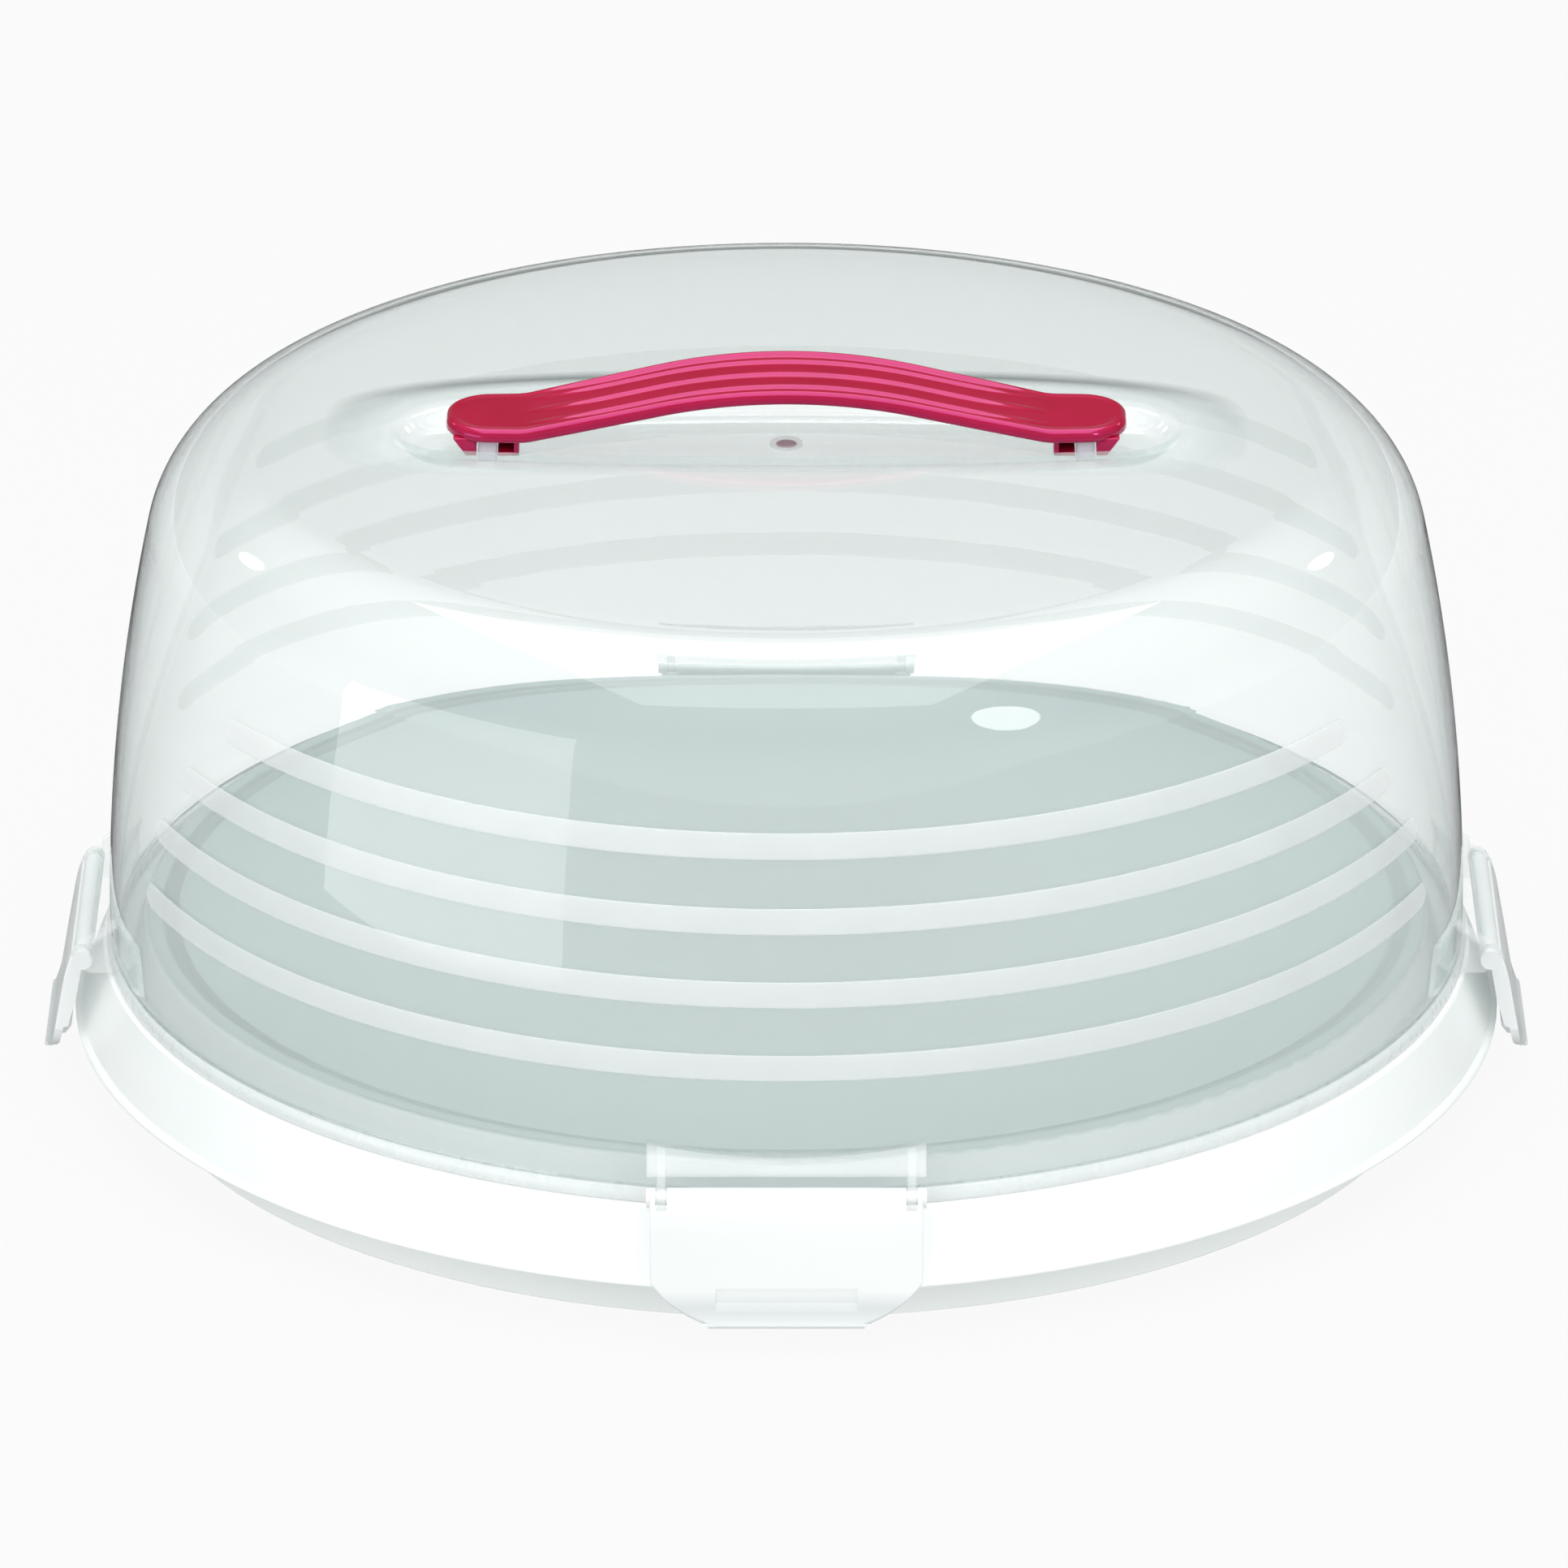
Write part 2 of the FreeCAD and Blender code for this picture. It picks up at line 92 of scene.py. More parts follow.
# ------------------------------------------------------------------ materials
def material(name):
    m = bpy.data.materials.new(name)
    m.use_nodes = True
    nt = m.node_tree
    bsdf = nt.nodes["Principled BSDF"]
    return m, nt, bsdf


def coords(nt):
    return nt.nodes.new("ShaderNodeTexCoord").outputs["Object"]


def noise(nt, vec, scale, detail=3.0, rough=0.5):
    n = nt.nodes.new("ShaderNodeTexNoise")
    n.inputs["Scale"].default_value = scale
    n.inputs["Detail"].default_value = detail
    n.inputs["Roughness"].default_value = rough
    nt.links.new(vec, n.inputs["Vector"])
    return n.outputs["Fac"]


def map_range(nt, val, a, b, c, d):
    n = nt.nodes.new("ShaderNodeMapRange")
    n.inputs["From Min"].default_value = a
    n.inputs["From Max"].default_value = b
    n.inputs["To Min"].default_value = c
    n.inputs["To Max"].default_value = d
    nt.links.new(val, n.inputs["Value"])
    return n.outputs["Result"]


def colour_mix(nt, fac, a, b):
    n = nt.nodes.new("ShaderNodeMix")
    n.data_type = "RGBA"
    n.inputs[6].default_value = (*a, 1)
    n.inputs[7].default_value = (*b, 1)
    nt.links.new(fac, n.inputs[0])
    return n.outputs[2]


def math_node(nt, op, a, b=None):
    n = nt.nodes.new("ShaderNodeMath")
    n.operation = op
    for i, v in enumerate((a, b)):
        if v is None:
            continue
        if isinstance(v, (int, float)):
            n.inputs[i].default_value = v
        else:
            nt.links.new(v, n.inputs[i])
    return n.outputs[0]


def bump(nt, bsdf, height, strength, distance):
    n = nt.nodes.new("ShaderNodeBump")
    n.inputs["Strength"].default_value = strength
    n.inputs["Distance"].default_value = distance
    nt.links.new(height, n.inputs["Height"])
    nt.links.new(n.outputs["Normal"], bsdf.inputs["Normal"])


def make_clear():
    m, nt, b = material("clear_plastic")
    v = coords(nt)
    b.inputs["Base Color"].default_value = (0.985, 0.995, 0.993, 1)
    # the finger pocket is moulded with a softer, slightly milky skin
    at = nt.nodes.new("ShaderNodeSeparateXYZ")
    nt.links.new(v, at.inputs[0])
    sx = math_node(nt, "POWER", math_node(nt, "ABSOLUTE", math_node(nt, "DIVIDE", at.outputs["X"], 0.101)), 4.0)
    sy = math_node(nt, "POWER", math_node(nt, "ABSOLUTE", math_node(nt, "DIVIDE", at.outputs["Y"], 0.0315)), 4.0)
    across = map_range(nt, math_node(nt, "ADD", sx, sy), 0.7, 1.25, 1.0, 0.0)
    milky = math_node(nt, "MULTIPLY", across, map_range(nt, at.outputs["Z"], 0.14, 0.145, 0.0, 1.0))
    nt.links.new(map_range(nt, milky, 0.0, 1.0, 0.96, 0.68), b.inputs["Transmission Weight"])
    nt.links.new(map_range(nt, milky, 0.0, 1.0, 1.0, 0.25), b.inputs["Alpha"])
    b.inputs["IOR"].default_value = 1.47
    nt.links.new(map_range(nt, noise(nt, v, 9.0), 0.3, 0.7, 0.0, 0.03), b.inputs["Roughness"])
    bump(nt, b, noise(nt, v, 30.0, 2.0), 0.05, 0.0006)
    # lamps shine straight through the wall
    out = nt.nodes["Material Output"]
    clear = nt.nodes.new("ShaderNodeBsdfTransparent")
    clear.inputs["Color"].default_value = (0.66, 0.705, 0.705, 1)
    path = nt.nodes.new("ShaderNodeLightPath")
    mix = nt.nodes.new("ShaderNodeMixShader")
    nt.links.new(path.outputs["Is Shadow Ray"], mix.inputs[0])
    nt.links.new(b.outputs[0], mix.inputs[1])
    nt.links.new(clear.outputs[0], mix.inputs[2])
    nt.links.new(mix.outputs[0], out.inputs["Surface"])
    tint = nt.nodes.new("ShaderNodeVolumeAbsorption")
    tint.inputs["Color"].default_value = (0.62, 0.80, 0.765, 1)
    tint.inputs["Density"].default_value = 34.0
    nt.links.new(tint.outputs[0], out.inputs["Volume"])
    return m


def make_frost(name, colour, alpha, rough):
    """Frosted translucent plastic: a pale rough skin that lets part of the light through."""
    m, nt, b = material(name)
    v = coords(nt)
    second = tuple(min(1.0, c * 1.03) for c in colour)
    nt.links.new(colour_mix(nt, map_range(nt, noise(nt, v, 60.0), 0.35, 0.65, 0.0, 1.0), colour, second), b.inputs["Base Color"])
    b.inputs["Alpha"].default_value = alpha
    b.inputs["IOR"].default_value = 1.47
    nt.links.new(map_range(nt, noise(nt, v, 260.0), 0.3, 0.7, rough - 0.08, rough + 0.08), b.inputs["Roughness"])
    bump(nt, b, noise(nt, v, 2200.0, 2.0), 0.25, 0.0001)
    return m


def base_painted_shade_zones(nt, at):
    """Painted shade and painted light: the thin serving plate is painted greyer than the rest, for the shade it sits in
    under the lid; its solid edge and the ledge are painted whiter, for the light on them.
    """
    r = math_node(nt, "SQRT", math_node(nt, "ADD", math_node(nt, "POWER", at.outputs["X"], 2.0), math_node(nt, "POWER", at.outputs["Y"], 2.0)))
    plate_painted_shade = math_node(nt, "MULTIPLY", map_range(nt, r, 0.1485, 0.1500, 1.0, 0.0), map_range(nt, at.outputs["Z"], 0.0355, 0.0365, 0.0, 1.0))
    edge_painted_light = math_node(nt, "MULTIPLY", map_range(nt, r, 0.1492, 0.1500, 0.0, 1.0), map_range(nt, at.outputs["Z"], 0.0290, 0.0296, 0.0, 1.0))
    return ((0.70, 0.735, 0.73), plate_painted_shade), ((0.96, 0.965, 0.965), edge_painted_light)


def clip_grip_painted_shade(nt, at):
    """Painted shade: the grip hangs free below the rim, so less light comes back through it, and it is painted darker
    for that.
    """
    return ((0.62, 0.645, 0.65), map_range(nt, at.outputs["Z"], 0.0110, 0.0150, 1.0, 0.0)),


def make_white(name, a, c, rough, glow=0.0, zones=None):
    """White moulded plastic; glow is the share of lamp light that a thin wall lets through."""
    m, nt, b = material(name)
    v = coords(nt)
    skin = colour_mix(nt, map_range(nt, noise(nt, v, 14.0), 0.35, 0.65, 0.0, 1.0), a, c)
    at = nt.nodes.new("ShaderNodeSeparateXYZ")
    nt.links.new(v, at.inputs[0])
    for shade, where in (zones(nt, at) if zones else ()):
        n = nt.nodes.new("ShaderNodeMix")
        n.data_type = "RGBA"
        nt.links.new(where, n.inputs[0])
        nt.links.new(skin, n.inputs[6])
        n.inputs[7].default_value = (*shade, 1)
        skin = n.outputs[2]
    nt.links.new(skin, b.inputs["Base Color"])
    nt.links.new(map_range(nt, noise(nt, v, 120.0), 0.3, 0.7, rough - 0.05, rough + 0.06), b.inputs["Roughness"])
    b.inputs["IOR"].default_value = 1.49
    b.inputs["Subsurface Weight"].default_value = 0.12
    b.inputs["Subsurface Radius"].default_value = (1.0, 1.0, 0.95)
    b.inputs["Subsurface Scale"].default_value = 0.002
    bump(nt, b, noise(nt, v, 900.0, 2.0), 0.06, 0.0002)
    if glow:
        clear = nt.nodes.new("ShaderNodeBsdfTransparent")
        clear.inputs["Color"].default_value = (glow, glow, glow, 1)
        path = nt.nodes.new("ShaderNodeLightPath")
        mix = nt.nodes.new("ShaderNodeMixShader")
        nt.links.new(path.outputs["Is Shadow Ray"], mix.inputs[0])
        nt.links.new(b.outputs[0], mix.inputs[1])
        nt.links.new(clear.outputs[0], mix.inputs[2])
        nt.links.new(mix.outputs[0], nt.nodes["Material Output"].inputs["Surface"])
    return m


def make_red():
    m, nt, b = material("red_plastic")
    v = coords(nt)
    fac = map_range(nt, noise(nt, v, 40.0, 4.0), 0.3, 0.7, 0.0, 1.0)
    nt.links.new(colour_mix(nt, fac, (0.33, 0.004, 0.026), (0.385, 0.0055, 0.037)), b.inputs["Base Color"])
    nt.links.new(map_range(nt, noise(nt, v, 150.0), 0.3, 0.7, 0.11, 0.18), b.inputs["Roughness"])
    b.inputs["IOR"].default_value = 1.5
    b.inputs["Specular IOR Level"].default_value = 0.9
    b.inputs["Specular Tint"].default_value = (1.0, 0.3, 0.85, 1)
    bump(nt, b, noise(nt, v, 700.0, 2.0), 0.05, 0.0002)
    return m


M_CLEAR = make_clear()
M_STRIPE = make_frost("frosted_stripe", (0.95, 0.96, 0.96), 0.36, 0.5)
M_STRIPE_BACK = make_frost("frosted_stripe_back", (0.95, 0.96, 0.96), 0.1, 0.5)
# the lugs' lavender tint is painted reflection of the red strap's light on frosted plastic
M_LUG_PAINTED_REFLECTION = make_frost("frosted_lug_painted_red_reflection", (0.93, 0.86, 0.96), 0.62, 0.35)
M_EAR = make_frost("frosted_bracket", (0.96, 0.97, 0.968), 0.22, 0.3)
M_BEAD = make_frost("frosted_bead", (0.92, 0.945, 0.945), 0.45, 0.3)
# the pip's pink is painted reflection of the red strap's light on frosted plastic
M_PIP_PAINTED_REFLECTION = make_frost("frosted_pip_painted_red_reflection", (0.70, 0.52, 0.64), 0.6, 0.3)
# the base's plate carries painted shade, and its edge and ledge carry painted light
M_BASE = make_white("white_base", (0.845, 0.885, 0.875), (0.875, 0.905, 0.895), 0.36, zones=base_painted_shade_zones)
# the clips' grips carry painted shade below the rim
M_CLIP = make_white("white_clip", (0.78, 0.805, 0.802), (0.805, 0.825, 0.822), 0.34, 0.9, clip_grip_painted_shade)
M_RED = make_red()


def set_material(ob, m):
    ob.data.materials.clear()
    ob.data.materials.append(m)


# ------------------------------------------------------------------ dome lid
LID_Z, LID_R, LID_T = 30.0, 158.0, 1.8
WALL_Z0, WALL_TOP_R, WALL_TOP_Z = 34.0, 147.5, 131.8
SHOULDER_R, CROWN_SLOPE = 28.0, 3.0
_h, _d = WALL_TOP_Z - WALL_Z0, LID_R - WALL_TOP_R
WALL_BIG = (_h * _h + _d * _d) / (2 * _d)
WALL_ANG = math.asin(_h / WALL_BIG)
WALL_C = (LID_R - WALL_BIG, WALL_Z0)
SH_C = (WALL_TOP_R - SHOULDER_R * math.cos(WALL_ANG), WALL_TOP_Z - SHOULDER_R * math.sin(WALL_ANG))
SH_END = math.radians(90.0 - CROWN_SLOPE)
CROWN_EDGE = (SH_C[0] + SHOULDER_R * math.cos(SH_END), SH_C[1] + SHOULDER_R * math.sin(SH_END))
CROWN_BIG = CROWN_EDGE[0] / math.sin(math.radians(CROWN_SLOPE))
CROWN_TOP = CROWN_EDGE[1] - CROWN_BIG * math.cos(math.radians(CROWN_SLOPE)) + CROWN_BIG
POCKET_Z = 151.0


def wall_r(z):
    if z <= WALL_Z0:
        return LID_R
    return WALL_C[0] + math.sqrt(WALL_BIG ** 2 - (z - WALL_C[1]) ** 2)


def wall_normal(z):
    if z <= WALL_Z0:
        return 1.0, 0.0
    s = (z - WALL_C[1]) / WALL_BIG
    return math.sqrt(1 - s * s), s


def crown_z(x, y):
    return CROWN_TOP - CROWN_BIG + math.sqrt(CROWN_BIG ** 2 - x * x - y * y)


def three_point_arc(p0, p1, p2):
    ax, ay = p0
    bx, by = p1
    cx, cy = p2
    d = 2 * (ax * (by - cy) + bx * (cy - ay) + cx * (ay - by))
    ux = ((ax * ax + ay * ay) * (by - cy) + (bx * bx + by * by) * (cy - ay) + (cx * cx + cy * cy) * (ay - by)) / d
    uy = ((ax * ax + ay * ay) * (cx - bx) + (bx * bx + by * by) * (ax - cx) + (cx * cx + cy * cy) * (bx - ax)) / d
    return (ux, uy), math.hypot(ax - ux, ay - uy)


def pocket_quarter(off, n):
    """n + 1 points from the +X end round to the +Y side of the pocket's outline."""
    w, e, x, l = 18.0 + off, 11.8 + off, 76.0, 86.5 + off
    c1, r1 = three_point_arc((x, -e), (l, 0.0), (x, e))
    c2, r2 = three_point_arc((-x, e), (0.0, w), (x, e))
    a_end = math.atan2(e - c1[1], x - c1[0])
    b0 = math.atan2(e - c2[1], x - c2[0])
    fine = []
    for i in range(200):
        a = a_end * i / 200.0
        fine.append((c1[0] + r1 * math.cos(a), c1[1] + r1 * math.sin(a)))
    for i in range(401):
        a = b0 + (math.pi / 2 - b0) * i / 400.0
        fine.append((c2[0] + r2 * math.cos(a), c2[1] + r2 * math.sin(a)))
    acc = [0.0]
    for p, q in zip(fine, fine[1:]):
        acc.append(acc[-1] + math.hypot(q[0] - p[0], q[1] - p[1]))
    out, j = [], 0
    for i in range(n + 1):
        u = i / n
        s = acc[-1] * (0.62 * u + 0.38 * u * u)
        while j < len(acc) - 2 and acc[j + 1] < s:
            j += 1
        t = (s - acc[j]) / max(acc[j + 1] - acc[j], 1e-9)
        out.append((fine[j][0] + (fine[j + 1][0] - fine[j][0]) * t, fine[j][1] + (fine[j + 1][1] - fine[j][1]) * t))
    return out


def pocket_outline(off, n):
    q = pocket_quarter(off, n // 4)
    ring = list(q)
    ring += [(-x, y) for x, y in reversed(q[:-1])]
    ring += [(-x, -y) for x, y in q[1:]]
    ring += [(x, -y) for x, y in reversed(q[1:-1])]
    return ring


def build_dome():
    n = 384
    prof = [(158.2, 33.6)]
    for i in range(45):
        a = WALL_ANG * i / 44.0
        prof.append((WALL_C[0] + WALL_BIG * math.cos(a), WALL_C[1] + WALL_BIG * math.sin(a)))
    for i in range(1, 29):
        a = WALL_ANG + (SH_END - WALL_ANG) * i / 28.0
        prof.append((SH_C[0] + SHOULDER_R * math.cos(a), SH_C[1] + SHOULDER_R * math.sin(a)))
    rings = []
    for r, z in prof:
        rings.append([(r * math.cos(2 * math.pi * i / n), r * math.sin(2 * math.pi * i / n), z) for i in range(n)])
    # crown between the shoulder and the pocket, then the pocket's wall and floor
    circle = [(CROWN_EDGE[0] * math.cos(2 * math.pi * i / n), CROWN_EDGE[0] * math.sin(2 * math.pi * i / n)) for i in range(n)]
    outer = pocket_outline(8.5, n)
    for k in range(1, 15):
        t = k / 15.0
        ring = []
        for (x0, y0), (x1, y1) in zip(circle, outer):
            x, y = x0 + (x1 - x0) * t, y0 + (y1 - y0) * t
            ring.append((x, y, crown_z(x, y)))
        rings.append(ring)
    slope = 7.5 / 5.0
    for off in (8.5, 7.2, 6.3, 5.7, 5.2, 4.8, 4.4, 4.0, 3.5, 3.0, 2.4, 1.8, 1.2, 0.7, 0.3, -0.1, -0.5, -1.0, -1.7, -2.6):
        ring = []
        for x, y in pocket_outline(off, n):
            ramp = POCKET_Z + slope * off
            z = smooth_min(smooth_max(ramp, POCKET_Z, 3.0), crown_z(x, y), 3.4)
            ring.append((x, y, z))
        rings.append(ring)
    floor = pocket_outline(-2.6, n)
    for k in (0.86, 0.7, 0.54, 0.38, 0.22, 0.1):
        rings.append([(x * k, y * k, POCKET_Z) for x, y in floor])
    verts = [p for ring in rings for p in ring]
    faces = []
    for k in range(len(rings) - 1):
        for i in range(n):
            j = (i + 1) % n
            faces.append((k * n + i, k * n + j, (k + 1) * n + j, (k + 1) * n + i))
    last = (len(rings) - 1) * n
    verts.append((0.0, 0.0, POCKET_Z))
    c = len(verts) - 1
    for i in range(n):
        faces.append((last + i, last + (i + 1) % n, c))
    ob = new_object("lid_shell", verts, faces)
    fix_normals(ob)
    top = max(ob.data.polygons, key=lambda p: p.center.z)
    if top.normal.z < 0:
        ob.data.flip_normals()
    s = ob.modifiers.new("wall", "SOLIDIFY")
    s.thickness = LID_T * MM
    s.offset = -1.0
    s.use_even_offset = True
    s.use_rim = True
    apply_modifiers(ob)
    set_material(ob, M_CLEAR)
    for p in ob.data.polygons:
        p.use_smooth = True
    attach(ob, "lid")
    return ob


def build_bead():
    """Rounded foot of the lid's wall, a little thicker than the wall and slightly frosted."""
    n = 384
    prof = [(156.3, 30.2), (156.5, 30.0), (158.1, 30.0), (158.5, 30.06), (158.78, 30.25), (158.9, 30.6), (158.9, 31.4),
            (158.87, 32.0), (158.75, 32.5), (158.5, 33.1), (158.2, 33.58), (156.4, 33.58), (156.2, 33.3)]
    verts, faces = [], []
    for r, z in prof:
        for i in range(n):
            a = 2 * math.pi * i / n
            verts.append((r * math.cos(a), r * math.sin(a), z))
    for k in range(len(prof)):
        m = (k + 1) % len(prof)
        for i in range(n):
            j = (i + 1) % n
            faces.append((k * n + i, k * n + j, m * n + j, m * n + i))
    ob = new_object("lid_foot_bead", verts, faces)
    fix_normals(ob)
    set_material(ob, M_BEAD)
    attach(ob, "lid")
    return ob


STRIPES = ((63.3, 68.6), (80.4, 67.5), (97.2, 63.0), (114.2, 56.8))
STRIPE_W = 6.0


def build_stripe(name, z0, half_deg, turn):
    """Frosted band moulded on the wall, a quarter of a millimetre proud, with rounded ends."""
    r0 = wall_r(z0)
    half = math.radians(half_deg) * r0
    hw = STRIPE_W / 2
    stations = []
    for i in range(13):
        stations.append(-half + hw * (1 - math.cos(math.pi / 2 * i / 12.0)))
    count = 150
    for i in range(1, count):
        stations.append(-half + hw + (2 * half - 2 * hw) * i / count)
    for i in range(13):
        stations.append(half - hw + hw * math.sin(math.pi / 2 * i / 12.0))
    vs = (-1.0, -0.92, -0.75, -0.4, 0.0, 0.4, 0.75, 0.92, 1.0)
    verts, loops = [], []
    for s in stations:
        d = max(0.0, abs(s) - (half - hw))
        h = math.sqrt(max(hw * hw - d * d, 0.0))
        h = max(h, 0.15)
        a = s / r0 + math.radians(-90.0 + turn)
        loop = []
        for v, side in [(v, 1) for v in vs] + [(v, -1) for v in reversed(vs)]:
            z = z0 + v * h
            nr, nz = wall_normal(z)
            rise = 0.22 * (1 - abs(v) ** 6) + 0.02 if side > 0 else -0.35
            r, zz = wall_r(z) + nr * rise, z + nz * rise
            loop.append(len(verts))
            verts.append((r * math.cos(a), r * math.sin(a), zz))
        loops.append(loop)
    faces = []
    for p, q in zip(loops, loops[1:]):
        for i in range(len(p)):
            j = (i + 1) % len(p)
            faces.append((p[i], q[i], q[j], p[j]))
    faces.append(tuple(reversed(loops[0])))
    faces.append(tuple(loops[-1]))
    ob = new_object(name, verts, faces)
    fix_normals(ob)
    set_material(ob, M_STRIPE_BACK if turn else M_STRIPE)
    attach(ob, "lid")
    return ob


# ------------------------------------------------------------------ lid lugs, ears and moulding mark
def bevel_box(bm, x0, x1, y0, y1, z0, z1, r, seg=3):
    res = bmesh.ops.create_cube(bm, size=1.0)
    vs = res["verts"]
    for v in vs:
        v.co = Vector(((x0 + x1) / 2 + v.co.x * (x1 - x0), (y0 + y1) / 2 + v.co.y * (y1 - y0), (z0 + z1) / 2 + v.co.z * (z1 - z0))) * MM
    edges = list({e for v in vs for e in v.link_edges})
    if r:
        bmesh.ops.bevel(bm, geom=edges, offset=r * MM, segments=seg, profile=0.5, affect="EDGES")


def object_from_bm(name, bm):
    bmesh.ops.recalc_face_normals(bm, faces=bm.faces)
    me = bpy.data.meshes.new(name)
    bm.to_mesh(me)
    bm.free()
    for p in me.polygons:
        p.use_smooth = True
    ob = bpy.data.objects.new(name, me)
    SCENE.collection.objects.link(ob)
    return ob


HINGE_R, HINGE_Z = 163.2, 34.6


def build_lugs():
    bm = bmesh.new()
    for s in (-1, 1):
        a, b = sorted((s * 66.6, s * 70.8))
        for y0, y1, z0, z1 in ((-10.0, -5.4, 150.3, 155.7), (5.4, 10.0, 150.3, 155.7), (-5.8, 5.8, 150.3, 153.0), (-5.8, 5.8, 154.6, 155.7)):
            bevel_box(bm, a, b, y0, y1, z0, z1, 0.25, 2)
    ob = object_from_bm("lid_lugs", bm)
    set_material(ob, M_LUG_PAINTED_REFLECTION)
    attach(ob, "lid")
    return ob


def ear_outline(count):
    def pol(a):
        a = math.radians(a)
        return (HINGE_R + 2.7 * math.cos(a), HINGE_Z + 2.7 * math.sin(a))

    poly = [(154.6, 30.4), (161.8, 30.4)] + [pol(-60 + 108 * i / 18.0) for i in range(19)] + [(157.6, 42.1), (154.6, 44.27)]
    out = []
    for i in range(count):
        a = 2 * math.pi * i / count
        dx, dz = math.cos(a), math.sin(a)
        best = None
        for (x0, z0), (x1, z1) in zip(poly, poly[1:] + poly[:1]):
            ex, ez = x1 - x0, z1 - z0
            den = dx * ez - dz * ex
            if abs(den) < 1e-9:
                continue
            t = ((x0 - HINGE_R) * ez - (z0 - HINGE_Z) * ex) / den
            u = ((x0 - HINGE_R) * dz - (z0 - HINGE_Z) * dx) / den
            if t > 0 and -1e-9 <= u <= 1 + 1e-9:
                best = t if best is None else max(best, t)
        out.append((HINGE_R + dx * best, HINGE_Z + dz * best))
    return out


def build_ears():
    count = 72
    outline = ear_outline(count)
    verts, faces = [], []
    for turn in (0, 90, 180, 270):
        c, s = math.cos(math.radians(turn)), math.sin(math.radians(turn))
        for t0, t1 in ((26.9, 28.9), (-28.9, -26.9)):
            rings = []
            for t, inset in ((t0, 0.25), (t0 + 0.25, 0.0), (t1 - 0.25, 0.0), (t1, 0.25)):
                o, h = [], []
                for i, (r, z) in enumerate(outline):
                    a = 2 * math.pi * i / count
                    rr, zz = r - inset * math.cos(a), z - inset * math.sin(a)
                    o.append(len(verts))
                    verts.append((rr * c - t * s, rr * s + t * c, zz))
                for i in range(count):
                    a = 2 * math.pi * i / count
                    rr, zz = HINGE_R + 1.66 * math.cos(a), HINGE_Z + 1.66 * math.sin(a)
                    h.append(len(verts))
                    verts.append((rr * c - t * s, rr * s + t * c, zz))
                rings.append((o, h))
            for (o0, h0), (o1, h1) in zip(rings, rings[1:]):
                for i in range(count):
                    j = (i + 1) % count
                    faces.append((o0[i], o0[j], o1[j], o1[i]))
                    faces.append((h0[j], h0[i], h1[i], h1[j]))
            for o, h in (rings[0], rings[-1]):
                for i in range(count):
                    j = (i + 1) % count
                    faces.append((o[i], h[i], h[j], o[j]))
    ob = new_object("lid_hinge_ears", verts, faces, smooth=False)
    fix_normals(ob)
    set_material(ob, M_EAR)
    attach(ob, "lid")
    return ob


def build_roofs():
    """Sloping web over each pair of ears, from the lid's wall to just above the clip's barrel."""
    verts, faces = [], []
    half, steps = 31.2, 48

    def top(x):
        return 42.1 - (x - 157.6) * 0.7222

    def low(x):
        return 38.35 - (x - 160.5) * 0.7235

    for turn in (0, 90, 180, 270):
        c, s = math.cos(math.radians(turn)), math.sin(math.radians(turn))
        loops = []
        for k in range(steps + 1):
            u = -1.0 + 2.0 * k / steps
            t = half * math.copysign(1 - (1 - abs(u)) ** 1.5, u)
            inset = max(0.0, 0.35 - (half - abs(t))) if half - abs(t) < 0.35 else 0.0
            inset = 0.35 - math.sqrt(max(0.35 ** 2 - inset ** 2, 0.0))
            xi = math.sqrt(157.0 ** 2 - t * t)
            section = [(xi, top(xi) - inset)]
            for f in (0.4, 0.75, 0.93):
                x = xi + (160.8 - xi) * f
                section.append((x, top(x) - inset))
            section += [(160.98, 39.6 - inset), (161.17, 39.36 - inset * 0.5), (161.15, 39.05), (160.95, 38.72 + inset * 0.5), (160.5, 38.37 + inset)]
            for f in (0.8, 0.4, 0.0):
                x = xi + (160.0 - xi) * f
                section.append((x, low(x) + inset))
            loop = []
            for x, z in section:
                loop.append(len(verts))
                verts.append((x * c - t * s, x * s + t * c, z))
            loops.append(loop)
        for p, q in zip(loops, loops[1:]):
            for i in range(len(p)):
                j = (i + 1) % len(p)
                faces.append((p[i], q[i], q[j], p[j]))
        faces.append(tuple(reversed(loops[0])))
        faces.append(tuple(loops[-1]))
    ob = new_object("lid_hinge_roofs", verts, faces)
    fix_normals(ob)
    set_material(ob, M_EAR)
    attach(ob, "lid")
    return ob


def build_gate(name, prof, mat):
    verts, faces = [], []
    n = 64
    verts.append((0.0, 0.0, POCKET_Z + prof[0][1]))
    for r, z in prof[1:]:
        for i in range(n):
            a = 2 * math.pi * i / n
            verts.append((r * math.cos(a), r * math.sin(a), POCKET_Z + z))
    for i in range(n):
        faces.append((0, 1 + i, 1 + (i + 1) % n))
    for k in range(len(prof) - 2):
        for i in range(n):
            j = (i + 1) % n
            faces.append((1 + k * n + i, 1 + (k + 1) * n + i, 1 + (k + 1) * n + j, 1 + k * n + j))
    faces.append(tuple(1 + (len(prof) - 2) * n + i for i in range(n)))
    ob = new_object(name, verts, faces)
    fix_normals(ob)
    set_material(ob, mat)
    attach(ob, "lid")
    return ob


# ------------------------------------------------------------------ strap handle
H_L, H_MID, H_END, H_C = 78.3, 14.2, 12.6, 10.4
H_PAD, H_T, H_ARCH, H_PHI, H_BEND, H_TOP = 159.0, 3.2, 140.0, math.radians(12.5), 18.0, 169.0


